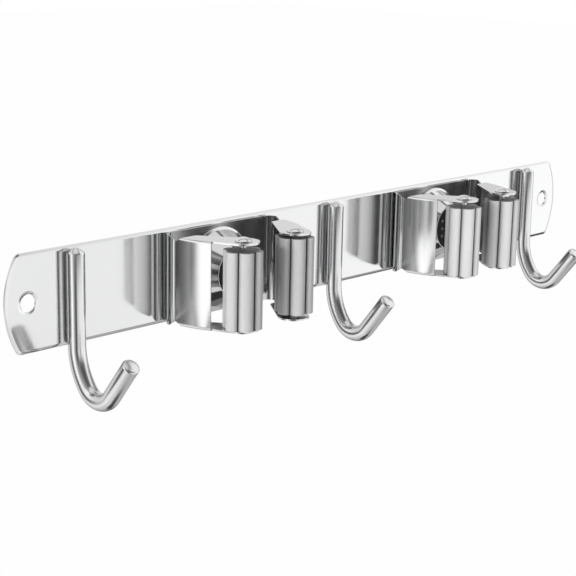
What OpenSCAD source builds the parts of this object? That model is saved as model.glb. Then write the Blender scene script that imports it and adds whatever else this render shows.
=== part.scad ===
// Wall mop holder rack: a bright steel wall plate with three wire hooks and two
// sprung clips, each gripping a handle between two ribbed rollers.
// X runs along the plate, +Z is up and the front faces -Y.
// The origin is the middle of the plate's wall face.

/* [Wall plate] */
// Length of the plate
plate_length = 400; // [340:1:600]
// Height of the plate
plate_height = 44; // [43:1:60]
// Thickness of the plate sheet
plate_thickness = 1.2; // [0.8:0.1:3]
// Radius of the curved ends of the plate
plate_end_radius = 40; // [34:1:80]
// Radius of the four small corner roundings
plate_corner_radius = 3; // [1:0.5:6]
// Diameter of the two wall screw holes
screw_hole_diameter = 8; // [4:0.1:10]
// Distance of each screw hole's centre from its end of the plate
screw_hole_inset = 12; // [9:0.5:20]

/* [Wire hooks] */
// Distance of each outer hook's middle from its end of the plate
hook_inset = 34.5; // [25:0.5:60]
// Diameter of the hook wire
wire_diameter = 8; // [6:0.1:10]
// Depth of the flat that the weld melts into the back of each stem
weld_flat_depth = 0.25; // [0.1:0.05:0.8]
// Distance from the plate's top edge down to the tip of each stem
stem_top_gap = 0.4; // [0:0.1:4]
// Height of the cone that ends each stem
stem_cone_height = 2.2; // [1:0.1:3.5]
// Radius of the flat on top of the cone
stem_cone_flat = 0.9; // [0.4:0.1:2]
// Length of the straight stem below the plate's middle line
stem_drop = 21; // [10:0.5:40]
// Bend radius of the upper sweep, at the middle of the wire
sweep_radius = 30; // [20:0.5:45]
// Angle through which the upper sweep leans forward
sweep_angle = 40; // [20:1:55]
// Bend radius of the bottom of the hook, at the middle of the wire
crook_radius = 10.5; // [8:0.5:20]
// Angle of the rising tip above the level
tip_angle = 52; // [35:1:75]
// Length of the straight rising tip
tip_length = 21.5; // [14:0.5:35]
// Size of the bevel round the end of the tip
tip_bevel = 0.9; // [0.3:0.1:2]

/* [Spring clips] */
// Distance between the middles of the two clips
clip_spacing = 161; // [130:1:175]
// Distance of the pair's middle to the right of the plate's middle
clip_shift = 2; // [-4:0.5:4]
// Width of a clip over its two side bends
clip_width = 69.6; // [66:0.2:80]
// Thickness of the spring sheet
sheet_thickness = 0.8; // [0.6:0.1:1]
// Height of the flat web and of the side bends
web_height = 42; // [40:0.5:43]
// Distance from the plate's middle line down to the clip's middle line
clip_drop = 1; // [0:0.1:2]
// Outside radius of the side bends
bend_radius = 5; // [3.5:0.1:6]
// Angle through which each side bend turns
bend_turn = 120; // [105:1:130]
// Radius of the groove between bend and cover, at the middle of the sheet
groove_radius = 2.5; // [1.5:0.1:4]
// Direction in which the cover leaves the groove, 90 is straight forward
cover_start_turn = 92; // [85:1:98]
// Bend radius of the cover, at the middle of the sheet
cover_radius = 44; // [30:1:80]
// Direction of the cover at its front edge
cover_end_turn = 116.5; // [108:0.5:120]
// Depth of the relief notches above and below the groove
notch_depth = 2.4; // [1:0.1:4]
// Width of the sloping side of a notch on the bend
notch_run = 3.8; // [1.5:0.1:4.5]
// Width of the steep side of a notch on the cover
notch_step = 3; // [0.8:0.1:4]

/* [Arms] */
// Height of an arm over its two flanges
arm_height = 41.2; // [36:0.2:41.6]
// Outside radius of the fold between cover and flange
fold_radius = 1.2; // [1.1:0.1:2.5]
// Distance between the two roller pins of a clip
pin_spacing = 33.4; // [31:0.2:37]
// Distance of the pins in front of the plate
pin_reach = 34.5; // [33:0.5:38]
// Radius of the rounded nose of each flange
nose_radius = 7.5; // [6:0.1:9]
// Distance from the side bends' middle in to the back corner of a flange
flange_back_inset = 6.6; // [5:0.2:12]
// Radius of the back corner of a flange
flange_back_radius = 2.5; // [1:0.5:5]

/* [Pins] */
// Diameter of the pin shank
pin_diameter = 3; // [2.4:0.1:4.5]
// Diameter of the domed pin head
pin_head_diameter = 8.2; // [6:0.1:10]
// Height of the domed pin head
pin_head_height = 2; // [1:0.1:3]
// Diameter of the riveted foot of the pin
pin_foot_diameter = 6.4; // [5:0.1:8]
// Height of the riveted foot of the pin
pin_foot_height = 1.3; // [0.8:0.1:2.5]

/* [Rollers] */
// Diameter over the ribs of a roller
roller_diameter = 18.5; // [16:0.1:20]
// Number of ribs round a roller
rib_count = 6; // [5:1:8]
// Radius of each rounded rib
rib_radius = 3.6; // [3.5:0.1:5.5]
// Radius of the narrow channel at the bottom of each groove
channel_radius = 0.6; // [0.2:0.05:0.8]
// Radial running clearance between roller and pin
pin_clearance = 0.07; // [0.03:0.01:0.1]
// Space that lets a roller slide up and down its pin
end_play = 3.4; // [0.8:0.1:4.5]
// Least gap between a resting roller and the flange under it
seat_gap = 0.2; // [0.1:0.05:0.3]
// Height of the second roller above its seat, which rides higher than the rest
raised_roller_lift = 1.8; // [0:0.1:3]

/* [Handle bumpers] */
// Radius of the bumper cup at its base
cup_base_radius = 19.8; // [15:0.1:20.5]
// Radius of the bumper cup at its mouth
cup_mouth_radius = 12; // [10:0.5:14]
// Distance of the bumper's mouth in front of the plate
cup_reach = 13.5; // [9:0.5:15]
// Thickness of the cup sheet
cup_thickness = 0.8; // [0.5:0.1:1.2]
// Depth of the rubber pad's face inside the mouth
pad_recess = 0.3; // [0:0.1:1]
// Gap between the rubber pad and the cup wall
pad_gap = 0.1; // [0.05:0.05:0.3]
// Distance between neighbouring nubs on the pad
nub_pitch = 4.1; // [3:0.1:6]
// Radius of each nub
nub_radius = 0.9; // [0.5:0.1:1.2]
// Height of each nub
nub_height = 0.7; // [0.3:0.1:1.2]

/* [Clip rivets] */
// Diameter of the rivet shank
rivet_diameter = 5; // [4:0.1:6]
// Diameter of the flush countersunk head in the wall face
rivet_flush_diameter = 7; // [6.5:0.1:8]
// Depth of the countersink in the plate
rivet_flush_depth = 0.9; // [0.4:0.1:1]
// Diameter of the formed head inside the cup
rivet_head_diameter = 9; // [7.5:0.1:11]
// Height of the formed head inside the cup
rivet_head_height = 2; // [1:0.1:3]

/* [Hidden] */
$fn = 96;
hair = 0.02;
far = 200;
wire_radius = wire_diameter / 2;
wire_reach = wire_radius - weld_flat_depth;
stem_top = plate_height / 2 - stem_top_gap;
hook_places = [-1, 0, 1] * (plate_length / 2 - hook_inset);
hole_places = [-1, 1] * (plate_length / 2 - screw_hole_inset);
clip_places = [clip_shift - clip_spacing / 2, clip_shift + clip_spacing / 2];

corner_u = plate_length / 2 - plate_end_radius
    + sqrt(pow(plate_end_radius - plate_corner_radius, 2)
         - pow(plate_height / 2 - plate_corner_radius, 2));
corner_turn = asin((plate_height / 2 - plate_corner_radius)
                   / (plate_end_radius - plate_corner_radius));

// In plan a clip is drawn with u outwards from its middle and v forwards from the plate.
function ahead(turn) = [cos(turn), sin(turn)];
function outward(turn) = [sin(turn), -cos(turn)];
function side_way(from, small, to, large) =
    let (way = to - from)
    ahead(atan2(way[1], way[0]) + acos((small - large) / norm(way)));
function tangent(from, centre, radius, side) =
    let (way = centre - from,
         reach = norm(way),
         turn = atan2(way[1], way[0]) + side * asin(radius / reach))
    from + sqrt(reach * reach - radius * radius) * ahead(turn);

bend_mid = bend_radius - sheet_thickness / 2;
bend_centre = [clip_width / 2 - bend_radius, bend_radius];
groove_start = bend_centre + bend_mid * outward(bend_turn);
groove_centre = groove_start + groove_radius * outward(bend_turn);
cover_start = groove_centre - groove_radius * outward(cover_start_turn);
cover_centre = cover_start - cover_radius * outward(cover_start_turn);
fold_start = cover_radius + sheet_thickness / 2 - fold_radius;
flange_start = fold_start - sheet_thickness / 4;
flange_front = cover_centre + flange_start * outward(cover_end_turn);
flange_back = [bend_centre[0] - flange_back_inset + flange_back_radius,
               cover_start[1] + notch_step];
back_round = flange_back + [0, flange_back_radius];
pin_place = [pin_spacing / 2, pin_reach];

arm_inner = arm_height - 2 * sheet_thickness;
roller_length = arm_inner - end_play;
roller_seat = -arm_inner / 2 + seat_gap;
pin_radius = pin_diameter / 2;
rib_place = roller_diameter / 2 - rib_radius;
groove_place = rib_place * cos(180 / rib_count)
    + sqrt(pow(rib_radius, 2) - pow(rib_place * sin(180 / rib_count), 2));

cup_length = cup_reach - sheet_thickness;
cup_slope = (cup_base_radius - cup_mouth_radius) / cup_length;
pad_length = cup_length - cup_thickness - pad_recess;
pad_base_radius = cup_base_radius - cup_slope * cup_thickness - cup_thickness - pad_gap;
pad_face_radius = pad_base_radius - cup_slope * pad_length;

// Maps plan coordinates to the part: v becomes -Y in front of the plate.
module plan_of_clip(place) {
    translate([clip_places[place], -plate_thickness, -clip_drop]) mirror([0, 1, 0]) children();
}

// Puts a right-hand arm's shape on the left or the right side of a clip.
module on_side(place, side) {
    plan_of_clip(place) mirror([side < 0 ? 1 : 0, 0, 0]) children();
}

// Upright sheet bent round a centre, between two angles and of one height.
module bent_sheet(centre, middle_radius, from_angle, to_angle, height) {
    translate([centre[0], centre[1], -height / 2])
        rotate([0, 0, from_angle])
            rotate_extrude(angle = to_angle - from_angle)
                translate([middle_radius - sheet_thickness / 2, 0])
                    square([sheet_thickness, height]);
}

// Bar across the sheet whose outline is drawn in v and z.
module bar_across(points) {
    rotate([90, 0, 90]) linear_extrude(far) polygon(points);
}

// Material taken away above and below the groove, as a pair of v-shaped bars.
module relief_notches() {
    deep = web_height / 2 - notch_depth;
    step_top = arm_height / 2;
    for (end = [0, 1]) mirror([0, 0, end])
        bar_across([
            [cover_start[1] - notch_run, web_height / 2],
            [cover_start[1], deep],
            [cover_start[1] + notch_step, step_top],
            [cover_start[1] + notch_step, far],
            [cover_start[1] - notch_run, far]
        ]);
}

module plate_outline() {
    wedge = far * [cos(corner_turn), sin(corner_turn)];
    square([2 * corner_u, plate_height], center = true);
    for (side = [-1, 1]) {
        for (end = [-1, 1])
            translate([side * corner_u, end * (plate_height / 2 - plate_corner_radius)])
                circle(r = plate_corner_radius - hair);
        translate([side * (plate_length / 2 - plate_end_radius), 0])
            intersection() {
                circle(r = plate_end_radius);
                polygon([[0, 0], [side * wedge[0], wedge[1]], [side * wedge[0], -wedge[1]]]);
            }
    }
}

module back_plate() {
    color("gainsboro") difference() {
        rotate([90, 0, 0]) linear_extrude(plate_thickness) plate_outline();
        for (place = hole_places)
            translate([place, 1, 0]) rotate([90, 0, 0])
                cylinder(d = screw_hole_diameter, h = plate_thickness + 2);
        for (place = clip_places) translate([place, 0, -clip_drop]) {
            translate([0, 1, 0]) rotate([90, 0, 0])
                cylinder(d = rivet_diameter + 2 * hair, h = plate_thickness + 2);
            rotate([90, 0, 0])
                cylinder(d1 = rivet_flush_diameter + 2 * hair,
                         d2 = rivet_diameter + 2 * hair, h = rivet_flush_depth);
        }
    }
}

// The hook is drawn in its own plane, with the distance from the plate as x
// and the height as y, and then stood up at its place. Each further length is
// drawn a hair thinner and reaches back into the one before it.
module wire_bend(centre, radius, from_angle, to_angle, thinner) {
    translate([centre[0], centre[1], 0])
        rotate([0, 0, from_angle])
            rotate_extrude(angle = to_angle - from_angle)
                translate([radius, 0]) circle(r = wire_radius - thinner, $fn = 48);
}

// Straight wire whose far end tapers to a flat.
module wire_run(from, turn, length, taper, flat, thinner) {
    wide = wire_radius - thinner;
    translate([from[0], from[1], 0]) rotate([0, 90, turn]) rotate_extrude($fn = 48)
        polygon([[0, 0], [wide, 0], [wide, length - taper], [flat, length], [0, length]]);
}

module hook(place) {
    stem_end = [wire_reach, -stem_drop];
    sweep_centre = stem_end + [sweep_radius, 0];
    sweep_end = sweep_centre - sweep_radius * [cos(sweep_angle), sin(sweep_angle)];
    crook_centre = sweep_end + crook_radius * [cos(sweep_angle), sin(sweep_angle)];
    crook_end = crook_centre + crook_radius * outward(tip_angle);
    lap = 0.3;
    lap_angle = lap / crook_radius * 180 / PI;
    color("silver") difference() {
        translate([hook_places[place], -plate_thickness, 0]) rotate([90, 0, -90]) union() {
            wire_run(stem_end, 90, stem_top + stem_drop, stem_cone_height, stem_cone_flat, 0);
            wire_bend(sweep_centre, sweep_radius, 180, 180 + sweep_angle, 0);
            wire_bend(crook_centre, crook_radius, 180 + sweep_angle - lap_angle,
                      270 + tip_angle, hair);
            wire_run(crook_end - lap * ahead(tip_angle), tip_angle, tip_length + lap,
                     tip_bevel, wire_radius - tip_bevel, 2 * hair);
        }
        translate([-far, -plate_thickness, -far]) cube([2 * far, far, 2 * far]);
    }
}

module clip_web(place) {
    color("silver") plan_of_clip(place) difference() {
        translate([-bend_centre[0], 0, -web_height / 2])
            cube([2 * bend_centre[0], sheet_thickness, web_height]);
        translate([0, -1, 0]) rotate([-90, 0, 0])
            cylinder(d = rivet_diameter + 2 * hair, h = sheet_thickness + 2);
    }
}

module clip_bend(place, side) {
    color("silver") on_side(place, side) difference() {
        union() {
            bent_sheet(bend_centre, bend_mid, -90, bend_turn - 90, web_height);
            bent_sheet(groove_centre, groove_radius, cover_start_turn + 90, bend_turn + 90,
                       web_height);
        }
        relief_notches();
    }
}

// Upright profile of the cover with its two folds, drawn round the cover's centre.
module cover_profile() {
    outer = cover_radius + sheet_thickness / 2;
    for (end = [0, 1]) mirror([0, end])
        translate([fold_start, arm_height / 2 - fold_radius]) intersection() {
            difference() {
                circle(r = fold_radius, $fn = 48);
                circle(r = fold_radius - sheet_thickness, $fn = 48);
            }
            square(fold_radius);
        }
    translate([outer - sheet_thickness, -arm_height / 2 + fold_radius])
        square([sheet_thickness, arm_height - 2 * fold_radius]);
    for (end = [0, 1]) mirror([0, end])
        translate([fold_start - sheet_thickness, arm_height / 2 - sheet_thickness])
            square(sheet_thickness);
}

module flange_outline() {
    front_way = cover_centre + far * outward(cover_end_turn);
    inner_way = side_way(back_round, flange_back_radius, pin_place, nose_radius);
    difference() {
        union() {
            intersection() {
                translate(cover_centre) circle(r = flange_start, $fn = 180);
                polygon([flange_back, [far, flange_back[1]], front_way, flange_front]);
            }
            polygon([
                flange_back,
                flange_front,
                tangent(flange_front, pin_place, nose_radius, -1),
                pin_place,
                pin_place + nose_radius * inner_way,
                back_round + flange_back_radius * inner_way,
                back_round
            ]);
            translate(back_round) circle(r = flange_back_radius);
            translate(pin_place) circle(r = nose_radius);
        }
        translate(pin_place) circle(r = pin_radius + hair);
    }
}

module clip_arm(place, side) {
    color("silver") on_side(place, side) {
        difference() {
            translate([cover_centre[0], cover_centre[1], 0])
                rotate([0, 0, cover_start_turn - 90])
                    rotate_extrude(angle = cover_end_turn - cover_start_turn, $fn = 180)
                        cover_profile();
            relief_notches();
        }
        for (end = [0, 1]) mirror([0, 0, end])
            translate([0, 0, arm_height / 2 - sheet_thickness])
                linear_extrude(sheet_thickness) flange_outline();
    }
}

// Solid cap of a ball, standing on z = 0.
module dome(diameter, height) {
    ball = (pow(diameter / 2, 2) + height * height) / (2 * height);
    rotate_extrude() intersection() {
        translate([0, height - ball]) circle(r = ball);
        square([diameter / 2, height]);
    }
}

module roller_pin(place, side) {
    color("whitesmoke") on_side(place, side) translate([pin_place[0], pin_place[1], 0]) {
        translate([0, 0, -arm_height / 2]) cylinder(r = pin_radius, h = arm_height);
        translate([0, 0, arm_height / 2]) dome(pin_head_diameter, pin_head_height);
        translate([0, 0, -arm_height / 2]) mirror([0, 0, 1])
            dome(pin_foot_diameter, pin_foot_height);
    }
}

module roller(place, side, lift) {
    color("darkgray") on_side(place, side)
        translate([pin_place[0], pin_place[1], roller_seat + lift])
            linear_extrude(roller_length) difference() {
                union() {
                    circle(r = rib_place);
                    for (rib = [0 : rib_count - 1]) rotate(rib * 360 / rib_count)
                        translate([rib_place, 0]) circle(r = rib_radius);
                }
                for (rib = [0 : rib_count - 1]) rotate((rib + 0.5) * 360 / rib_count)
                    translate([groove_place, 0]) circle(r = channel_radius, $fn = 24);
                circle(r = pin_radius + pin_clearance, $fn = 96);
            }
}

// Turns children that stand along z so that they point forwards from the web.
module forward_of_web(place) {
    plan_of_clip(place) translate([0, sheet_thickness, 0]) rotate([-90, 0, 0]) children();
}

module bumper_cup(place) {
    inner_base = cup_base_radius - cup_slope * cup_thickness - cup_thickness;
    color("lightgray") forward_of_web(place) rotate_extrude() polygon([
        [rivet_diameter / 2 + hair, 0],
        [cup_base_radius, 0],
        [cup_mouth_radius, cup_length],
        [cup_mouth_radius - cup_thickness, cup_length],
        [inner_base, cup_thickness],
        [rivet_diameter / 2 + hair, cup_thickness]
    ]);
}

module bumper_pad(place) {
    rows = ceil(pad_face_radius / nub_pitch);
    room = pad_face_radius - nub_radius;
    color("dimgray") forward_of_web(place) difference() {
        translate([0, 0, cup_thickness]) {
            cylinder(r1 = pad_base_radius, r2 = pad_face_radius, h = pad_length);
            for (row = [-rows : rows], column = [-rows : rows]) {
                spot = nub_pitch * [row * sin(60), column + (row % 2 == 0 ? 0 : 0.5)];
                if (norm(spot) <= room)
                    translate([spot[0], spot[1], pad_length])
                        cylinder(r = nub_radius, h = nub_height, $fn = 24);
            }
        }
        translate([0, 0, cup_thickness - 1])
            cylinder(d = rivet_head_diameter + 4 * hair, h = rivet_head_height + 1 + 2 * hair);
    }
}

module clip_rivet(place) {
    shank = plate_thickness + sheet_thickness + cup_thickness;
    color("silver") plan_of_clip(place) translate([0, -plate_thickness, 0]) rotate([-90, 0, 0]) {
        cylinder(d1 = rivet_flush_diameter, d2 = rivet_diameter, h = rivet_flush_depth);
        cylinder(d = rivet_diameter, h = shank);
        translate([0, 0, shank]) cylinder(d = rivet_head_diameter, h = rivet_head_height);
    }
}

back_plate();
hook(0);  // hook_left
hook(1);  // hook_middle
hook(2);  // hook_right

clip_web(0);  // left_clip_web
clip_rivet(0);  // left_clip_rivet
bumper_cup(0);  // left_clip_cup
bumper_pad(0);  // left_clip_pad
clip_bend(0, -1);  // left_clip_bend_a
clip_arm(0, -1);  // left_clip_arm_a
roller_pin(0, -1);  // left_clip_pin_a
roller(0, -1, 0);  // left_clip_roller_a
clip_bend(0, 1);  // left_clip_bend_b
clip_arm(0, 1);  // left_clip_arm_b
roller_pin(0, 1);  // left_clip_pin_b
roller(0, 1, min(raised_roller_lift, end_play - 2 * seat_gap));  // left_clip_roller_b

clip_web(1);  // right_clip_web
clip_rivet(1);  // right_clip_rivet
bumper_cup(1);  // right_clip_cup
bumper_pad(1);  // right_clip_pad
clip_bend(1, -1);  // right_clip_bend_a
clip_arm(1, -1);  // right_clip_arm_a
roller_pin(1, -1);  // right_clip_pin_a
roller(1, -1, 0);  // right_clip_roller_a
clip_bend(1, 1);  // right_clip_bend_b
clip_arm(1, 1);  // right_clip_arm_b
roller_pin(1, 1);  // right_clip_pin_b
roller(1, 1, 0);  // right_clip_roller_b
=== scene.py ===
import math

import bmesh
import bpy
from mathutils import Matrix, Vector


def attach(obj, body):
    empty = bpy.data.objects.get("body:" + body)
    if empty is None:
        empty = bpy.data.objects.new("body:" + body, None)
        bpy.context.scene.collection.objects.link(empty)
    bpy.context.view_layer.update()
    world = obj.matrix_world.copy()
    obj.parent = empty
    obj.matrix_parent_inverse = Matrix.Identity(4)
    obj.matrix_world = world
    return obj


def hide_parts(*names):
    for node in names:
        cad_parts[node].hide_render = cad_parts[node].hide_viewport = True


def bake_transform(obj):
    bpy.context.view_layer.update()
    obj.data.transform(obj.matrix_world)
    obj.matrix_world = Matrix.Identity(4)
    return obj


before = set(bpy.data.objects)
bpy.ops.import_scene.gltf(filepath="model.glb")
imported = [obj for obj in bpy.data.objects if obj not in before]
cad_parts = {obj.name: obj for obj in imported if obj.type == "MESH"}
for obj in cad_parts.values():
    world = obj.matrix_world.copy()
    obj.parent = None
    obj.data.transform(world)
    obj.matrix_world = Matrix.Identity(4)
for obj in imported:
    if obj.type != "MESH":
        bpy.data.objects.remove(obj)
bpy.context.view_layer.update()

# Sizes are in millimetres. In plan, u runs outwards from a clip's middle and
# v forwards from the front of the plate.
MM = 0.001
PLATE_LENGTH, PLATE_HEIGHT, PLATE_THICK = 400.0, 44.0, 1.2
END_RADIUS, CORNER_RADIUS = 40.0, 3.0
SCREW_HOLE, SCREW_PLACE = 8.0, 188.0
RIVET_HOLE = 7.04
HOOKS = {"hook_left": -165.5, "hook_middle": 0.0, "hook_right": 165.5}
CLIPS = {"left": -78.5, "right": 82.5}
CLIP_DROP = 1.0
SHEET = 0.8
WEB_HALF, ARM_HALF = 21.0, 20.6
PIN = Vector((16.7, 34.5, 0.0))
NOSE_RADIUS, HEEL_RADIUS, HEEL_INSET = 7.5, 2.5, 6.6


def outward(turn):
    """Direction square to a sheet that runs at this turn, on the side away from its centre."""
    a = math.radians(turn)
    return Vector((math.sin(a), -math.cos(a), 0.0))


BEND = Vector((29.8, 5.0, 0.0))
BEND_MID, BEND_TURN = 4.6, 120.0
GROOVE_RADIUS = 2.5
GROOVE = BEND + (BEND_MID + GROOVE_RADIUS) * outward(BEND_TURN)
COVER_RADIUS, COVER_FROM, COVER_TO = 44.0, 92.0, 116.5
COVER_START = GROOVE - GROOVE_RADIUS * outward(COVER_FROM)
COVER = COVER_START - COVER_RADIUS * outward(COVER_FROM)
NOTCH_DEEP, NOTCH_RUN, NOTCH_STEP = WEB_HALF - 2.4, 3.8, 3.0

# Axes that shapes are spun about.
ALONG, BACKWARD, UP = (1, 0, 0), (0, -1, 0), (0, 0, 1)


# ---------------------------------------------------------------- shaping

def points_of(geom):
    return [g for g in geom if isinstance(g, bmesh.types.BMVert)]


def edges_of(geom):
    return [g for g in geom if isinstance(g, bmesh.types.BMEdge)]


def outline_of(bm):
    return list(bm.verts) + list(bm.edges)


def spun(bm, geom, centre, axis, degrees, steps):
    """Spins an edge or a point and returns the last row of it."""
    made = bmesh.ops.spin(bm, geom=geom, cent=centre, axis=axis,
                          angle=math.radians(degrees), steps=steps)
    return made["geom_last"]


def drawn_out(bm, geom, move):
    """Extrudes a loop of edges, or a single point, by a move and returns the new end."""
    if edges_of(geom):
        made = bmesh.ops.extrude_edge_only(bm, edges=edges_of(geom))["geom"]
    else:
        made = bmesh.ops.extrude_vert_indiv(bm, verts=geom)["verts"]
    ends = points_of(made)
    bmesh.ops.translate(bm, verts=ends, vec=move)
    return ends + [e for e in edges_of(made) if all(v in ends for v in e.verts)]


def revolved(points, steps=64):
    """Closed solid of revolution about Z from a profile of (radius, height) points."""
    bm = bmesh.new()
    profile = [bm.verts.new((radius, 0.0, height)) for radius, height in points]
    for one, two in zip(profile, profile[1:]):
        bm.edges.new((one, two))
    bmesh.ops.spin(bm, geom=outline_of(bm), cent=(0, 0, 0), axis=UP, angle=math.tau, steps=steps,
                   use_merge=True)
    bmesh.ops.remove_doubles(bm, verts=list(bm.verts), dist=1e-4)
    return bm


def rounded_corner(corner, before, after, radius):
    """Points of a profile's corner, rounded off between its two neighbours."""
    steps = 5
    corner, before, after = Vector(corner), Vector(before), Vector(after)
    one, two = (before - corner).normalized(), (after - corner).normalized()
    half = one.angle(two) / 2
    reach = radius / math.tan(half)
    middle = corner + (one + two).normalized() * radius / math.sin(half)
    first, last = corner + one * reach - middle, corner + two * reach - middle
    swing = first.angle_signed(last)
    return [tuple(middle + Matrix.Rotation(-swing * i / steps, 2) @ first)
            for i in range(steps + 1)]


def softened(profile):
    """Profile of (radius, height) points from points of (radius, height, rounding)."""
    points = [point[:2] for point in profile]
    made = [points[0]]
    for i in range(1, len(points) - 1):
        rounding = profile[i][2]
        if rounding:
            made += rounded_corner(points[i], points[i - 1], points[i + 1], rounding)
        else:
            made.append(points[i])
    return made + [points[-1]]


def trimmed(bm, point, normal, fill=False):
    """Cuts away what lies on the normal's side of a plane."""
    cut = bmesh.ops.bisect_plane(bm, geom=outline_of(bm) + list(bm.faces), plane_co=point,
                                 plane_no=normal, clear_outer=True, dist=1e-5)
    if fill:
        bmesh.ops.edgeloop_fill(bm, edges=edges_of(cut["geom_cut"]))


# ---------------------------------------------------------------- placing

def at_clip(clip, side=1):
    """Plan millimetres to the rack's metres, for the right-hand or left-hand arm of a clip."""
    return Matrix(((side * MM, 0, 0, CLIPS[clip] * MM), (0, -MM, 0, -PLATE_THICK * MM),
                   (0, 0, MM, -CLIP_DROP * MM), (0, 0, 0, 1)))


def on_plate(x=0.0):
    """Plan millimetres to the rack's metres, for what stands on the plate at x."""
    return Matrix(((MM, 0, 0, x * MM), (0, -MM, 0, -PLATE_THICK * MM), (0, 0, MM, 0),
                   (0, 0, 0, 1)))


def made_piece(name, bm, place, finish, node=None, closed=True):
    """Puts a shape in its place and makes it an object with its finish."""
    sharp_edge, flat = 38, 0.99995
    bmesh.ops.transform(bm, matrix=place, verts=list(bm.verts))
    bmesh.ops.remove_doubles(bm, verts=list(bm.verts), dist=2e-6)
    if closed:
        bmesh.ops.recalc_face_normals(bm, faces=list(bm.faces))
    elif place.determinant() < 0:
        bmesh.ops.reverse_faces(bm, faces=list(bm.faces))
    mesh = bpy.data.meshes.new(name)
    bm.to_mesh(mesh)
    bm.free()
    mesh.set_sharp_from_angle(angle=math.radians(sharp_edge))
    for face in mesh.polygons:
        face.use_smooth = max(abs(c) for c in face.normal) < flat
    mesh.materials.append(finish)
    piece = bpy.data.objects.new(name, mesh)
    bpy.context.scene.collection.objects.link(piece)
    if node:
        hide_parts(node)
    return piece


def refinished(node, finish):
    """Gives a finish to a solid that is shown as it is."""
    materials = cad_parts[node].data.materials
    materials.clear()
    materials.append(finish)


def thickened(piece, offset):
    """Gives a skin the sheet's thickness."""
    wall = piece.modifiers.new("sheet", "SOLIDIFY")
    wall.thickness, wall.offset, wall.use_even_offset = SHEET * MM, offset, True
    wall.use_quality_normals = True


def eased(piece, width):
    """Rounds the sheared edges a little, so that they catch the light."""
    ease = piece.modifiers.new("edges", "BEVEL")
    ease.width, ease.segments, ease.profile = width * MM, 2, 0.5
    ease.limit_method, ease.angle_limit = "ANGLE", math.radians(50)
    ease.use_clamp_overlap, ease.harden_normals = True, True


# ---------------------------------------------------------------- finishes

# Span in which most of a noise's values lie.
NOISE_LOW, NOISE_HIGH = 0.3, 0.7


def node_group(name, inputs, outputs):
    group = bpy.data.node_groups.new(name, "ShaderNodeTree")
    for label, kind, value in inputs:
        socket = group.interface.new_socket(label, in_out="INPUT", socket_type=kind)
        if value is not None:
            socket.default_value = value
    for label, kind in outputs:
        group.interface.new_socket(label, in_out="OUTPUT", socket_type=kind)
    return group, group.nodes.new("NodeGroupInput"), group.nodes.new("NodeGroupOutput")


def fed(tree, node, links):
    """Feeds a node's sockets, each from another node's output or with a plain value."""
    for socket, source in links:
        if hasattr(source, "is_output"):
            tree.links.new(source, node.inputs[socket])
        else:
            node.inputs[socket].default_value = source
    return node


def joined(tree, kind, links=(), **settings):
    """New node with its settings, and its sockets fed."""
    node = tree.nodes.new(kind)
    for key, value in settings.items():
        setattr(node, key, value)
    return fed(tree, node, links)


def reckoned(tree, operation, *terms, clamp=False):
    return joined(tree, "ShaderNodeMath", enumerate(terms), operation=operation,
                  use_clamp=clamp).outputs[0]


def stretched(tree, value, low, high, to_low=0.0, to_high=1.0):
    return joined(tree, "ShaderNodeMapRange",
                  [("Value", value), ("From Min", low), ("From Max", high),
                   ("To Min", to_low), ("To Max", to_high)]).outputs[0]


def between(tree, share, one, two):
    """Colour mixed of two, which are colours or other nodes' outputs."""
    return joined(tree, "ShaderNodeMix", [("Factor", share), ("A", one), ("B", two)],
                  data_type="RGBA").outputs["Result"]


def noise(tree, place, scale, detail, roughness=0.5, distortion=0.0):
    return joined(tree, "ShaderNodeTexNoise",
                  [("Vector", place), ("Scale", scale), ("Detail", detail),
                   ("Roughness", roughness), ("Distortion", distortion)]).outputs["Fac"]


def drawn_grain_group():
    """Fine parallel lines left by rolling and polishing, along the vector's first axis."""
    group, given, out = node_group(
        "drawn grain",
        [("Vector", "NodeSocketVector", None), ("Fineness", "NodeSocketFloat", 900.0),
         ("Length", "NodeSocketFloat", 0.02)],
        [("Grain", "NodeSocketFloat"), ("Cloud", "NodeSocketFloat")])
    place = given.outputs["Vector"]
    apart = joined(group, "ShaderNodeSeparateXYZ", [(0, place)]).outputs
    long = reckoned(group, "MULTIPLY", apart[0], given.outputs["Length"])
    lines = joined(group, "ShaderNodeCombineXYZ", [(0, long), (1, apart[1]), (2, apart[2])])
    fed(group, out,
        [("Grain", noise(group, lines.outputs[0], given.outputs["Fineness"], detail=5.0,
                         roughness=0.62)),
         ("Cloud", noise(group, place, scale=34.0, detail=4.0, roughness=0.55,
                         distortion=0.4))])
    return group


def edge_wear_and_highlight_group():
    """Mask of the outer edges, broken up a little, where hands and cloths rub, and where steel
    gets a painted highlight.
    """
    group, given, out = node_group(
        "edge wear and painted highlight",
        [("Vector", "NodeSocketVector", None), ("From", "NodeSocketFloat", 0.52),
         ("To", "NodeSocketFloat", 0.62)],
        [("Mask", "NodeSocketFloat")])
    shape = joined(group, "ShaderNodeNewGeometry")
    edge = stretched(group, shape.outputs["Pointiness"], given.outputs["From"],
                     given.outputs["To"])
    patches = noise(group, given.outputs["Vector"], scale=260.0, detail=3.0)
    broken = stretched(group, patches, low=0.3, high=0.6, to_low=0.55)
    fed(group, out, [("Mask", reckoned(group, "MULTIPLY", edge, broken, clamp=True))])
    return group


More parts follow.
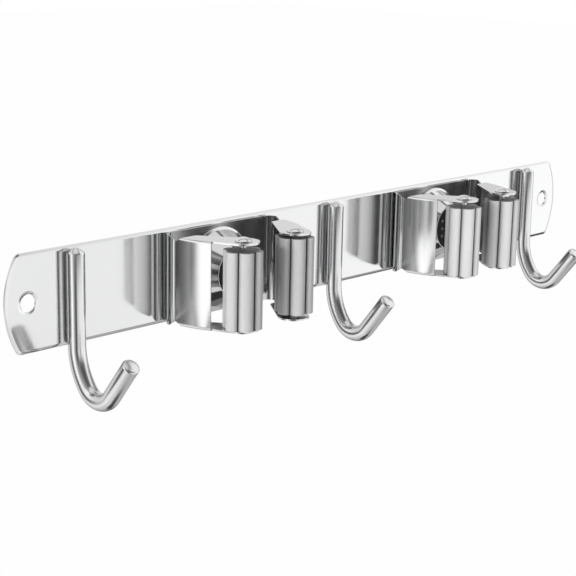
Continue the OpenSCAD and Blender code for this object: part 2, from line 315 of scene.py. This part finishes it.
def moulded_skin_and_shade_group():
    """Fine pitted skin of moulded rubber, its dusty tone, and the mask of the painted shade in
    its grooves.
    """
    group, given, out = node_group(
        "moulded skin and painted shade",
        [("Vector", "NodeSocketVector", None), ("Pits", "NodeSocketFloat", 1500.0)],
        [("Height", "NodeSocketFloat"), ("Tone", "NodeSocketFloat"),
         ("Painted shade", "NodeSocketFloat")])
    place = given.outputs["Vector"]
    painted_shade = joined(group, "ShaderNodeAttribute", attribute_name="painted_shade")
    fed(group, out,
        [("Height", noise(group, place, given.outputs["Pits"], detail=3.0, roughness=0.7)),
         ("Tone", noise(group, place, scale=90.0, detail=4.0)),
         ("Painted shade", painted_shade.outputs["Fac"])])
    return group


DRAWN_GRAIN = drawn_grain_group()
EDGE_WEAR_AND_HIGHLIGHT = edge_wear_and_highlight_group()
MOULDED_SKIN_AND_SHADE = moulded_skin_and_shade_group()


def blank_finish(name):
    """New material with its nodes and its shader."""
    made = bpy.data.materials.new(name)
    made.use_nodes = True
    return made, made.node_tree, made.node_tree.nodes["Principled BSDF"]


def shade(tone, share=1.0):
    return *[min(1.0, c * share) for c in tone], 1


def relieved(tree, height, strength, depth):
    return joined(tree, "ShaderNodeBump", [("Height", height), ("Strength", strength),
                                           ("Distance", depth)]).outputs[0]


def steel(name, tone, rough, turn=(0, 0, 0), fineness=900.0, streak=0.03, relief=0.05):
    """Stainless steel. turn lays the grain, and rough is (on the face, on worn edges). Worn
    edges also get a painted highlight in their colour.
    """
    grain_length, grain_depth, haze = 0.02, 0.00002, 0.03
    clouded, painted_highlight_gain, painted_highlight_share = 0.965, 1.06, 0.35
    made, tree, shader = blank_finish(name)
    place = joined(tree, "ShaderNodeTexCoord").outputs["Object"]
    laid = joined(tree, "ShaderNodeMapping",
                  [("Vector", place), ("Rotation", [math.radians(a) for a in turn])])
    marks = joined(tree, "ShaderNodeGroup",
                   [("Vector", laid.outputs[0]), ("Fineness", fineness),
                    ("Length", grain_length)], node_tree=DRAWN_GRAIN)
    grain, cloud = marks.outputs["Grain"], marks.outputs["Cloud"]
    wear_and_highlight = joined(tree, "ShaderNodeGroup", [("Vector", place)],
                    node_tree=EDGE_WEAR_AND_HIGHLIGHT).outputs["Mask"]
    face = between(tree, cloud, shade(tone, clouded), shade(tone))
    # Painted highlight: the worn edges are painted brighter than the face. Their extra roughness
    # below is real wear.
    colour = between(tree, reckoned(tree, "MULTIPLY", wear_and_highlight, painted_highlight_share), face,
                     shade(tone, painted_highlight_gain))
    hazed = stretched(tree, cloud, NOISE_LOW, NOISE_HIGH, rough[0], rough[0] + haze)
    lined = reckoned(tree, "MULTIPLY_ADD", grain, streak, hazed)
    rougher = reckoned(tree, "MULTIPLY_ADD", wear_and_highlight, rough[1] - rough[0], lined, clamp=True)
    fed(tree, shader,
        [("Base Color", colour), ("Roughness", rougher), ("Metallic", 1.0),
         ("Normal", relieved(tree, grain, relief, grain_depth))])
    return made


def rubber(name, tone, painted_shade_tone, rough):
    """Moulded rubber, with painted shade in its grooves and towards its bore."""
    pits, relief, pit_depth = 1500.0, 0.35, 0.00004
    dusted, duller = 0.9, 0.1
    made, tree, shader = blank_finish(name)
    place = joined(tree, "ShaderNodeTexCoord").outputs["Object"]
    skin = joined(tree, "ShaderNodeGroup", [("Vector", place), ("Pits", pits)],
                  node_tree=MOULDED_SKIN_AND_SHADE)
    face = between(tree, skin.outputs["Tone"], shade(tone, dusted), shade(tone))
    fed(tree, shader,
        [("Base Color", between(tree, skin.outputs["Painted shade"], face, shade(painted_shade_tone))),
         ("Roughness", stretched(tree, skin.outputs["Tone"], NOISE_LOW, NOISE_HIGH,
                                 rough, rough + duller)),
         ("Normal", relieved(tree, skin.outputs["Height"], relief, pit_depth)),
         ("Specular IOR Level", 0.4)])
    return made


UPRIGHT = (0, 90, 0)
MIRROR_STEEL = steel("mirror steel", (0.73, 0.732, 0.735), (0.03, 0.12), relief=0.02)
PLATE_STEEL = steel("plate steel", (0.73, 0.732, 0.735), (0.07, 0.14), relief=0.02)
SATIN_STEEL = steel("satin steel", (0.73, 0.732, 0.736), (0.15, 0.2), UPRIGHT, relief=0.02)
SPRING_STEEL = steel("spring steel", (0.52, 0.522, 0.526), (0.06, 0.14), UPRIGHT, relief=0.03)
WIRE_STEEL = steel("drawn wire", (0.72, 0.72, 0.725), (0.17, 0.22), UPRIGHT, fineness=1400.0,
                   streak=0.06, relief=0.08)
# The web's steel is toned darker than the spring steel of its bends: painted shade, for the web
# in shadow behind the arms.
PAINTED_SHADE_WEB_STEEL = steel("shaded spring steel", (0.4, 0.402, 0.406), (0.14, 0.2), UPRIGHT, relief=0.03)
PIN_STEEL = steel("pin steel", (0.82, 0.82, 0.82), (0.16, 0.22), fineness=700.0)
# The third tone of each rubber is the colour of its painted shade.
GREY_RUBBER = rubber("grey rubber", (0.57, 0.57, 0.57), (0.17, 0.17, 0.17), 0.42)
BLACK_RUBBER = rubber("black rubber", (0.009, 0.009, 0.009), (0.008, 0.008, 0.008), 0.42)
# The nubs are toned grey, lighter than the pad's black rubber, as a painted highlight on them.
PAINTED_HIGHLIGHT_NUB_RUBBER = rubber("nub rubber with painted highlight", (0.3, 0.3, 0.3), (0.1, 0.1, 0.1), 0.25)


# ---------------------------------------------------------------- plate

def plate_shape():
    """Flat plate with bowed ends and open holes, its front edge rolled off a little."""
    bm = bmesh.new()
    rolled, rim_drop, shoulder_drop = (0.5, 1.0), 0.34, 0.13
    bow = END_RADIUS - CORNER_RADIUS
    fillet_z = PLATE_HEIGHT / 2 - CORNER_RADIUS
    fillet_x = PLATE_LENGTH / 2 - END_RADIUS + math.sqrt(bow ** 2 - fillet_z ** 2)
    turn = math.degrees(math.asin(fillet_z / bow))
    point = [bm.verts.new((PLATE_LENGTH / 2, 0, 0))]
    point = spun(bm, point, (PLATE_LENGTH / 2 - END_RADIUS, 0, 0), BACKWARD, turn, steps=20)
    point = spun(bm, point[:1], (fillet_x, 0, fillet_z), BACKWARD, 90 - turn, steps=8)
    drawn_out(bm, point[:1], (-fillet_x, 0, 0))
    for axis in ("X", "Z"):
        bmesh.ops.mirror(bm, geom=outline_of(bm), axis=axis, merge_dist=1e-3)
    bmesh.ops.remove_doubles(bm, verts=list(bm.verts), dist=1e-3)
    stand = Matrix.Rotation(math.pi / 2, 4, "X")
    holes = [(x, 0, SCREW_HOLE / 2) for x in (-SCREW_PLACE, SCREW_PLACE)]
    holes += [(x, -CLIP_DROP, RIVET_HOLE / 2) for x in CLIPS.values()]
    for x, z, radius in holes:
        bmesh.ops.create_circle(bm, segments=56, radius=radius,
                                matrix=Matrix.Translation((x, 0, z)) @ stand)
    bmesh.ops.triangle_fill(bm, edges=list(bm.edges), use_beauty=True)
    made = bmesh.ops.extrude_face_region(bm, geom=list(bm.faces))["geom"]
    bmesh.ops.translate(bm, verts=points_of(made), vec=(0, -PLATE_THICK, 0))
    bmesh.ops.recalc_face_normals(bm, faces=list(bm.faces))
    face = [f for f in bm.faces if f.normal.y > 0.9]
    for width in rolled:
        bmesh.ops.inset_region(bm, faces=face, thickness=width, use_even_offset=True,
                               use_boundary=True)
        face = [f for f in face if f.is_valid]
    front = {v for v in bm.verts if abs(v.co.y) < 1e-4}
    rim = {v for v in front if any(abs(f.normal.y) < 0.5 for f in v.link_faces)}
    shoulder = {e.other_vert(v) for v in rim for e in v.link_edges} & front - rim
    bmesh.ops.translate(bm, verts=list(rim), vec=(0, -rim_drop, 0))
    bmesh.ops.translate(bm, verts=list(shoulder), vec=(0, -shoulder_drop, 0))
    return bm


plate = made_piece("plate", plate_shape(), on_plate(), PLATE_STEEL, "back_plate")
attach(plate, "rack")


# ---------------------------------------------------------------- hooks

def drawn_wire(bm, loop, way, steps, radius):
    """Draws a wire's end on along a way, by steps of (length, new radius)."""
    for length, new_radius in steps:
        end = drawn_out(bm, loop, way * length)
        points = points_of(end)
        middle = sum((p.co for p in points), Vector()) / len(points)
        bmesh.ops.scale(bm, verts=points, vec=[new_radius / radius] * 3,
                        space=Matrix.Translation(-middle))
        loop, radius = edges_of(end), new_radius
    return loop


def bent_wire(bm, loop, centre, degrees, steps):
    """Bends a wire's end forwards and up round a centre."""
    points = list({v for e in loop for v in e.verts})
    return edges_of(spun(bm, points + loop, centre, ALONG, degrees, steps))


def hook_shape():
    """Wire bent to a J in the plane u = 0, welded to the plate by a flat on its back."""
    bm = bmesh.new()
    wire, reach, top, foot = 4.0, 3.75, 21.6, 21.0
    crown, cone, shoulder, shoulder_radius = 0.9, 2.0, 0.35, 3.86
    sweep_radius, sweep_turn, crook_radius, crook_turn = 30.0, 40, 10.5, 102
    tip_length, tip_rounding = 20.6, ((0.3, 0.12), (0.45, 0.55), (0.15, 0.95))
    ring = bmesh.ops.create_circle(bm, segments=40, radius=crown, cap_ends=True,
                                   matrix=Matrix.Translation((0, reach, top)))["verts"]
    loop = list({e for v in ring for e in v.link_edges if len(e.link_faces) == 1})
    stem = [(cone, shoulder_radius), (shoulder, wire), (top - (cone + shoulder) + foot, wire)]
    loop = drawn_wire(bm, loop, Vector((0, 0, -1)), stem, crown)
    sweep = Vector((0, reach + sweep_radius, -foot))
    lean = math.radians(sweep_turn)
    crook = sweep - Vector((0, math.cos(lean), math.sin(lean))) * (sweep_radius - crook_radius)
    loop = bent_wire(bm, loop, sweep, sweep_turn, steps=20)
    loop = bent_wire(bm, loop, crook, crook_turn, steps=40)
    rise = math.radians(sweep_turn + crook_turn - 90)
    tip = [(tip_length, wire)] + [(length, wire - less) for length, less in tip_rounding]
    loop = drawn_wire(bm, loop, Vector((0, math.cos(rise), math.sin(rise))), tip, wire)
    bmesh.ops.edgeloop_fill(bm, edges=loop)
    trimmed(bm, (0, 0, 0), (0, -1, 0), fill=True)
    return bm


for name, place in HOOKS.items():
    piece = made_piece(f"wire_{name}", hook_shape(), on_plate(place), WIRE_STEEL,
                       name)
    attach(piece, "rack")


# ---------------------------------------------------------------- clips

def notch_planes(run, top, bottom):
    """Planes of the sloping sides of the notches, above and below."""
    for end in (1, -1):
        normal = Vector((0, -math.copysign(top - bottom, run), abs(run) * end))
        yield Vector((0, COVER_START.y, end * bottom)), normal


def bend_shape():
    """Side bend of the spring sheet: round from the web, then back through the groove."""
    bm = bmesh.new()
    one = bm.verts.new((BEND.x, SHEET / 2, -WEB_HALF))
    two = bm.verts.new((BEND.x, SHEET / 2, WEB_HALF))
    row = [one, two, bm.edges.new((one, two))]
    row = spun(bm, row, BEND, UP, BEND_TURN, steps=28)
    spun(bm, row, GROOVE, UP, COVER_FROM - BEND_TURN, steps=8)
    for point, normal in notch_planes(-NOTCH_RUN, WEB_HALF, NOTCH_DEEP):
        trimmed(bm, point, normal)
    return bm


def nose_tangent(start):
    """Point where a line from start touches the front of the flange's round nose."""
    way = PIN - start
    turn = math.atan2(way.y, way.x) - math.asin(NOSE_RADIUS / way.length)
    reach = math.sqrt(way.length_squared - NOSE_RADIUS ** 2)
    return start + reach * Vector((math.cos(turn), math.sin(turn), 0))


def inner_side_turn(heel, nose):
    """Turn, in degrees, of the normal of the straight side from the heel to the round nose."""
    way = nose - heel
    return math.degrees(math.atan2(way.y, way.x)
                        + math.acos((HEEL_RADIUS - NOSE_RADIUS) / way.length))


def fill_flange(bm, level, fold_row, lap_row):
    """Fills the flat flange at one end of the cover, with its round nose and heel."""
    rim = [v for v in bm.verts if abs(v.co.z - level) < 1e-3 and v.is_boundary]

    def row(radius):
        return [v for v in rim if abs((v.co - COVER).to_2d().length - radius) < 0.02]

    last_way = outward(COVER_TO).to_2d()
    inner = sorted(row(lap_row), key=lambda v: v.co.y)
    corner = max(row(fold_row),
                 key=lambda v: (v.co - COVER).to_2d().normalized().dot(last_way))
    loop = [bm.edges.get((a, b)) for a, b in zip(inner, inner[1:])]
    loop.append(bm.edges.get((inner[-1], corner)))
    nose = PIN + Vector((0, 0, level))
    heel = Vector((BEND.x - HEEL_INSET + HEEL_RADIUS, inner[0].co.y + HEEL_RADIUS, level))
    front = bm.verts.new(nose_tangent(corner.co * Vector((1, 1, 0))) + Vector((0, 0, level)))
    back = bm.verts.new(heel - Vector((0, HEEL_RADIUS, 0)))
    turn = inner_side_turn(heel, nose)
    front_way = front.co - nose
    swing = (turn - math.degrees(math.atan2(front_way.y, front_way.x))) % 360
    before = set(bm.edges)
    bm.edges.new((corner, front))
    bm.edges.new((back, inner[0]))
    nose_end = points_of(spun(bm, [front], nose, UP, swing, steps=28))[0]
    heel_end = points_of(spun(bm, [back], heel, UP, turn - 270, steps=8))[0]
    bm.edges.new((nose_end, heel_end))
    loop += [e for e in bm.edges if e not in before]
    bmesh.ops.triangle_fill(bm, edges=[e for e in loop if e], use_beauty=True)


def arm_shape():
    """Outer skin of an arm: curved cover, two folds, and a flange above and below."""
    bm = bmesh.new()
    fold, lap, land = 1.2, 0.8, 0.6
    fold_row = COVER_RADIUS + SHEET / 2 - fold
    lap_row = fold_row - lap
    end = [bm.verts.new((lap_row, 0, -ARM_HALF))]
    end = drawn_out(bm, end, (lap, 0, 0))
    end = spun(bm, end, (fold_row, 0, -ARM_HALF + fold), BACKWARD, 90, steps=7)
    for rise in (land, 2 * (ARM_HALF - fold) - 2 * land, land):
        end = drawn_out(bm, points_of(end)[:1], (0, 0, rise))
    end = spun(bm, end, (fold_row, 0, ARM_HALF - fold), BACKWARD, 90, steps=7)
    drawn_out(bm, points_of(end), (-lap, 0, 0))
    swing = Matrix.Rotation(math.radians(COVER_FROM - 90), 4, "Z")
    bmesh.ops.transform(bm, verts=list(bm.verts), matrix=Matrix.Translation(COVER) @ swing)
    spun(bm, outline_of(bm), COVER, UP, COVER_TO - COVER_FROM, steps=30)
    for point, normal in notch_planes(NOTCH_STEP, ARM_HALF, NOTCH_DEEP):
        trimmed(bm, point, normal)
    for level in (ARM_HALF, -ARM_HALF):
        fill_flange(bm, level, fold_row, lap_row)
    bmesh.ops.recalc_face_normals(bm, faces=list(bm.faces))
    cover = max(bm.faces, key=lambda f: f.calc_area() if abs(f.normal.z) < 0.1 else 0)
    if cover.normal.dot(cover.calc_center_median() - COVER) < 0:
        bmesh.ops.reverse_faces(bm, faces=list(bm.faces))
    return bm


def pin_shape():
    """Roller pin with its polished dome above and its riveted foot below."""
    top, dome, shank = ARM_HALF + 1.95, 6.4, 1.5
    brow, rim, seat = (4.05, ARM_HALF + 0.5), (4.1, ARM_HALF + 0.35), (3.6, ARM_HALF)
    foot, foot_side, foot_tip, end = 3.2, -ARM_HALF - 0.5, 1.4, -ARM_HALF - 1.3
    turns = [math.radians(3 * i) for i in range(14)]
    head = [(dome * math.sin(a), top - dome * (1 - math.cos(a))) for a in turns]
    return revolved(head + softened(
        [(*brow, 0), (*rim, 0.05), (*seat, 0), (shank, ARM_HALF, 0), (shank, -ARM_HALF, 0),
         (foot, -ARM_HALF, 0), (foot, foot_side, 0.3), (foot_tip, end, 0.4), (0, end, 0)]))


def roller_shape(length):
    """Ribbed roller with rounded rims, open along its bore."""
    bm = bmesh.new()
    ribs, rib_place, rib, channel = 6, 5.65, 3.6, 0.6
    rim_rounding, bore_radius, crest, groove_depth = 0.42, 1.62, 8.6, 1.7
    half = math.pi / ribs
    groove = rib_place * math.cos(half) + math.sqrt(rib ** 2 - (rib_place * math.sin(half)) ** 2)
    bottom = Vector((math.cos(half), math.sin(half), 0)) * groove
    from_rib = bottom - Vector((rib_place, 0, 0))
    bow = math.degrees(math.atan2(from_rib.y, from_rib.x) - channel / rib)
    point = [bm.verts.new((rib_place + rib, 0, 0))]
    point = points_of(spun(bm, point, (rib_place, 0, 0), UP, bow, steps=9))
    from_groove = (point[0].co - bottom).to_2d()
    dip = -math.degrees(from_groove.angle_signed(-bottom.to_2d()))
    spun(bm, point, bottom, UP, dip, steps=4)
    bmesh.ops.mirror(bm, geom=outline_of(bm), axis="Y", merge_dist=1e-3)
    bmesh.ops.spin(bm, geom=outline_of(bm), cent=(0, 0, 0), axis=UP,
                   angle=math.tau * (ribs - 1) / ribs, steps=ribs - 1, use_duplicate=True)
    bmesh.ops.remove_doubles(bm, verts=list(bm.verts), dist=0.01)
    bmesh.ops.edgeloop_fill(bm, edges=list(bm.edges))
    made = bmesh.ops.extrude_face_region(bm, geom=list(bm.faces))["geom"]
    bmesh.ops.translate(bm, verts=points_of(made), vec=(0, 0, length))
    bmesh.ops.recalc_face_normals(bm, faces=list(bm.faces))
    rims = [e for e in bm.edges if abs(e.verts[0].co.z - e.verts[1].co.z) < 1e-4]
    bmesh.ops.bevel(bm, geom=rims, offset=rim_rounding, offset_type="OFFSET", segments=3,
                    profile=0.5, affect="EDGES", material=-1, clamp_overlap=True)
    caps = [f for f in bm.faces if abs(f.normal.z) > 0.999 and len(f.verts) > 20]
    bmesh.ops.delete(bm, geom=caps, context="FACES_ONLY")
    bores = []
    for level in (0.0, length):
        rim = [e for e in bm.edges if e.is_boundary and abs(e.verts[0].co.z - level) < 1e-3]
        ring = bmesh.ops.create_circle(bm, segments=40, radius=bore_radius,
                                       matrix=Matrix.Translation((0, 0, level)))["verts"]
        bore = list({e for v in ring for e in v.link_edges})
        bmesh.ops.triangle_fill(bm, edges=rim + bore, use_beauty=True)
        bores += bore
    bmesh.ops.bridge_loops(bm, edges=bores)
    # Painted shade: points nearer the axis than the crests are painted darker, in the grooves,
    # the bore and the ends towards the bore.
    depth = bm.verts.layers.float.new("painted_shade")
    for v in bm.verts:
        v[depth] = min(1.0, max(0.0, (crest - v.co.to_2d().length) / groove_depth))
    return bm


def cup_shape():
    """Pressed cup of the handle bumper, with a flat brim against the web."""
    hole, brim, mouth, reach = 2.52, 19.8, 12.0, 12.7
    outer_foot, inner_foot = (18.6, 1.35), (18.0, SHEET)
    return revolved(softened(
        [(hole, 0, 0), (brim, 0, 0.25), (brim, SHEET, 0.4), (*outer_foot, 1.2),
         (mouth, reach, 0.35), (mouth - SHEET, reach, 0.35), (*inner_foot, 0.8),
         (hole, SHEET, 0), (hole, 0, 0)]), steps=96)


def pad_shape():
    """Tapered rubber pad that fills the cup, with its rim rounded off."""
    foot, brow, face, reach = 17.7, (11.3, 12.1), 11.0, 12.4
    return revolved(softened(
        [(0, SHEET, 0), (foot, SHEET, 0), (*brow, 0.3), (face, reach, 0.3), (0, reach, 0)]),
        steps=72)


def nub_shapes():
    """Rows of small round nubs, standing on the face of the pad."""
    bm = bmesh.new()
    pitch, radius, flattening = 4.1, 0.9, 0.9
    field, level = 10.2, 12.3
    row_step = math.sin(math.radians(60))
    for row in range(-3, 4):
        for column in range(-3, 4):
            spot = Vector((row * row_step, column + (0.5 if row % 2 else 0), 0)) * pitch
            if spot.length <= field:
                nub = bmesh.ops.create_uvsphere(bm, u_segments=20, v_segments=12,
                                                radius=radius)["verts"]
                bmesh.ops.scale(bm, verts=nub, vec=(1, 1, flattening))
                bmesh.ops.translate(bm, verts=nub, vec=spot + Vector((0, 0, level)))
    return bm


def forward_of_web(clip):
    """Shapes that stand along Z, turned to point forwards from the web."""
    turned = Matrix.Rotation(-math.pi / 2, 4, "X")
    return at_clip(clip) @ Matrix.Translation((0, SHEET, 0)) @ turned


END_PLAY, SEAT_GAP = 3.4, 0.2
ROLLER_LENGTH = 2 * ARM_HALF - 2 * SHEET - END_PLAY
ROLLER_SEAT = -ARM_HALF + SHEET + SEAT_GAP
# One roller rides high on its pin.
LIFTS = {("left", "b"): 1.8}

for clip in CLIPS:
    refinished(f"{clip}_clip_web", PAINTED_SHADE_WEB_STEEL)
    refinished(f"{clip}_clip_rivet", PIN_STEEL)

    stand = forward_of_web(clip)
    cup = made_piece(f"{clip}_cup", cup_shape(), stand, MIRROR_STEEL,
                     f"{clip}_clip_cup")
    pad = made_piece(f"{clip}_pad", pad_shape(), stand, BLACK_RUBBER,
                     f"{clip}_clip_pad")
    nubs = made_piece(f"{clip}_nubs", nub_shapes(), stand, PAINTED_HIGHLIGHT_NUB_RUBBER)
    for piece in (cup, pad, nubs):
        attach(piece, "rack")

    for letter, side in (("a", -1), ("b", 1)):
        place = at_clip(clip, side)
        body = f"{clip}_arm_{letter}"
        bend = made_piece(f"{clip}_bend_{letter}", bend_shape(), place, SPRING_STEEL,
                          f"{clip}_clip_bend_{letter}")
        thickened(bend, 0)
        eased(bend, 0.22)
        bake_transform(bend)

        arm = made_piece(f"{clip}_arm_sheet_{letter}", arm_shape(), place, SATIN_STEEL,
                         f"{clip}_clip_arm_{letter}", closed=False)
        thickened(arm, -1)
        eased(arm, 0.2)
        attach(arm, body)

        pin = made_piece(f"{clip}_pin_{letter}", pin_shape(), place @ Matrix.Translation(PIN),
                         PIN_STEEL, f"{clip}_clip_pin_{letter}")
        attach(pin, body)

        seat = ROLLER_SEAT + LIFTS.get((clip, letter), 0.0)
        roller = made_piece(f"{clip}_roller_{letter}", roller_shape(ROLLER_LENGTH),
                            place @ Matrix.Translation(PIN + Vector((0, 0, seat))),
                            GREY_RUBBER, f"{clip}_clip_roller_{letter}")
        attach(roller, f"{clip}_roller_{letter}")


# ---------------------------------------------------------------- camera

def aim_camera():
    """Camera fitted to the photograph, with its lens from a focal length in pixels."""
    azimuth, elevation, roll = (math.radians(a) for a in (-46.191, 13.865, 1.129))
    target, distance = Vector((-28.567, 0, -19.576)) * MM, 0.751736
    focal_length, picture_width, film_width = 1501.98, 576.0, 36.0
    back = Vector((math.sin(azimuth) * math.cos(elevation),
                   -math.cos(azimuth) * math.cos(elevation), math.sin(elevation)))
    right = back.cross(Vector((0, 0, -1))).normalized()
    above = back.cross(right)
    turned = Matrix((right, above, back)).transposed() @ Matrix.Rotation(roll, 3, "Z")
    data = bpy.data.cameras.new("camera")
    data.sensor_width, data.lens = film_width, film_width * focal_length / picture_width
    data.clip_start, data.clip_end = 0.05, 30.0
    camera = bpy.data.objects.new("camera", data)
    camera.matrix_world = Matrix.Translation(target + back * distance) @ turned.to_4x4()
    bpy.context.scene.collection.objects.link(camera)
    bpy.context.scene.camera = camera


aim_camera()


# ---------------------------------------------------------------- studio

# Rings of pale and dark cards that the steel mirrors, at four heights, as (degrees from the
# front towards the right, brightness). A ring holds 32 cards at most.
LEVEL_RING = [
    (-180, 0.62), (-160, 0.95), (-146, 0.85), (-141, 0.45), (-136, 0.10), (-122, 0.08),
    (-115, 0.24), (-109, 0.50), (-104, 0.95), (-98, 1.45), (-92, 1.60), (-84, 1.45),
    (-77, 1.00), (-70, 0.72), (-64, 0.42), (-57, 0.24), (-50, 0.14), (-43, 0.03),
    (-37, 0.04), (-31, 0.50), (-26, 0.86), (-6, 1.10), (12, 1.20), (28, 1.16), (38, 1.13),
    (46, 1.22), (58, 1.38), (70, 1.20), (82, 0.80), (100, 0.30), (118, 0.55), (132, 0.80)]
HIGH_RING = [
    (-180, 0.85), (-150, 0.85), (-125, 1.20), (-105, 1.30), (-88, 1.20), (-72, 0.45),
    (-58, 0.40), (-46, 0.30), (-34, 0.18), (-20, 0.10), (0, 0.10), (22, 0.14), (30, 0.45),
    (37, 1.00), (60, 1.15), (76, 1.20), (95, 1.15), (100, 0.60), (110, 0.55), (122, 0.75),
    (134, 0.85), (150, 0.82)]
UNDER_RING = [
    (-180, 0.80), (-150, 1.00), (-120, 1.20), (-100, 1.15), (-84, 1.00), (-72, 0.85),
    (-60, 0.70), (-48, 0.15), (-40, 0.06), (-20, 0.06), (0, 0.95), (28, 1.05), (42, 0.55),
    (58, 0.40), (65, 0.06), (82, 0.05), (93, 0.55), (110, 0.62), (122, 0.40), (132, 0.30),
    (150, 0.50)]
DEEP_RING = [
    (-180, 0.65), (-90, 0.95), (-70, 0.80), (-50, 0.65), (-30, 0.58), (60, 0.60),
    (90, 0.62), (108, 0.50), (120, 0.18), (134, 0.18), (150, 0.40)]

# What follows the level ring above it and below it. Each takes over between two heights,
# given as the sine of the elevation, and is a ring or one even tone.
FURTHER_RINGS = [
    (0.02, 0.2, HIGH_RING), (0.78, 0.84, 0.16), (0.86, 0.9, 0.9),
    (-0.28, -0.38, UNDER_RING), (-0.66, -0.74, DEEP_RING), (-0.945, -0.965, 0.04)]


def ring_of_cards(tree, share, stops):
    cards = joined(tree, "ShaderNodeValToRGB", [("Fac", share)])
    ramp = cards.color_ramp
    while len(ramp.elements) < len(stops):
        ramp.elements.new(0.5)
    for element, (angle, value) in zip(ramp.elements, stops):
        element.position = (angle + 180) / 360
        element.color = (value, value, value, 1)
    return cards.outputs[0]


def studio_world():
    """White to the camera, rings of cards to the steel, and a soft light to the rubber."""
    world = bpy.data.worlds.new("studio")
    bpy.context.scene.world = world
    world.use_nodes = True
    tree = world.node_tree
    tree.nodes.clear()
    way = joined(tree, "ShaderNodeTexCoord").outputs["Generated"]
    apart = joined(tree, "ShaderNodeSeparateXYZ", [(0, way)]).outputs
    front = reckoned(tree, "MULTIPLY", apart[1], -1.0)
    around = reckoned(tree, "ARCTAN2", apart[0], front)
    share = stretched(tree, around, -math.pi, math.pi)
    shown = ring_of_cards(tree, share, LEVEL_RING)
    for start, end, further in FURTHER_RINGS:
        if isinstance(further, float):
            further = (further, further, further, 1)
        else:
            further = ring_of_cards(tree, share, further)
        shown = between(tree, stretched(tree, apart[2], start, end), shown, further)

    def background(colour, strength):
        return joined(tree, "ShaderNodeBackground",
                      [("Color", colour), ("Strength", strength)]).outputs[0]

    path = joined(tree, "ShaderNodeLightPath").outputs
    lit = joined(tree, "ShaderNodeMixShader",
                 [("Fac", path["Is Diffuse Ray"]), (1, background(shown, 1.0)),
                  (2, background((1, 1, 1, 1), 0.2))])
    seen = joined(tree, "ShaderNodeMixShader",
                  [("Fac", path["Is Camera Ray"]), (1, lit.outputs[0]),
                   (2, background((1, 1, 1, 1), 1.0))])
    joined(tree, "ShaderNodeOutputWorld", [("Surface", seen.outputs[0])])


def pale_floor():
    """White to the camera but for a trace of shadow, and clear from below and to the steel."""
    half_side, height, glow_share = 6.0, -0.34, 0.985
    bm = bmesh.new()
    bmesh.ops.create_grid(bm, x_segments=2, y_segments=2, size=half_side,
                          matrix=Matrix.Translation((0, 0, height)))
    mesh = bpy.data.meshes.new("floor")
    bm.to_mesh(mesh)
    bm.free()
    floor = bpy.data.objects.new("floor", mesh)
    bpy.context.scene.collection.objects.link(floor)
    made, tree, shader = blank_finish("pale floor")
    fed(tree, shader, [("Base Color", (0.9, 0.9, 0.9, 1)), ("Roughness", 0.9)])
    path = joined(tree, "ShaderNodeLightPath").outputs
    glow = joined(tree, "ShaderNodeEmission", [("Color", (1, 1, 1, 1)), ("Strength", 1.0)])
    glowing = reckoned(tree, "MULTIPLY", path["Is Camera Ray"], glow_share)
    seen = joined(tree, "ShaderNodeMixShader",
                  [("Fac", glowing), (1, shader.outputs[0]), (2, glow.outputs[0])])
    below = joined(tree, "ShaderNodeNewGeometry").outputs["Backfacing"]
    unseen = reckoned(tree, "MAXIMUM", path["Is Glossy Ray"], below)
    clear = joined(tree, "ShaderNodeBsdfTransparent")
    whole = joined(tree, "ShaderNodeMixShader",
                   [("Fac", unseen), (1, seen.outputs[0]), (2, clear.outputs[0])])
    tree.links.new(whole.outputs[0], tree.nodes["Material Output"].inputs["Surface"])
    mesh.materials.append(made)


def hung_lamp(data, place, target):
    """Lamp aimed at a target, which lights rubber and stays out of the steel."""
    lamp = bpy.data.objects.new(data.name, data)
    lamp.location = place
    lamp.rotation_mode = "QUATERNION"
    lamp.rotation_quaternion = (Vector(target) - Vector(place)).to_track_quat("-Z", "Y")
    lamp.visible_glossy = False
    bpy.context.scene.collection.objects.link(lamp)


def soft_lamp(name, place, side, power):
    data = bpy.data.lights.new(name, "AREA")
    data.shape, data.size, data.energy = "SQUARE", side, power
    hung_lamp(data, place, (0, 0, 0))


def narrow_lamp(name, place, target, cone, power):
    data = bpy.data.lights.new(name, "SPOT")
    data.spot_size, data.spot_blend, data.shadow_soft_size = math.radians(cone), 0.6, 0.06
    data.energy = power
    hung_lamp(data, place, target)


studio_world()
pale_floor()
soft_lamp("key", (-1.25, -0.25, 0.05), side=0.35, power=12.5)
soft_lamp("fill", (0.45, -1.15, 0.08), side=0.5, power=2.8)
narrow_lamp("right clip fill", (-0.25, -0.85, 0.14), (0.0785, -0.03, 0), cone=14, power=15)
bpy.context.scene.view_settings.view_transform = "Standard"
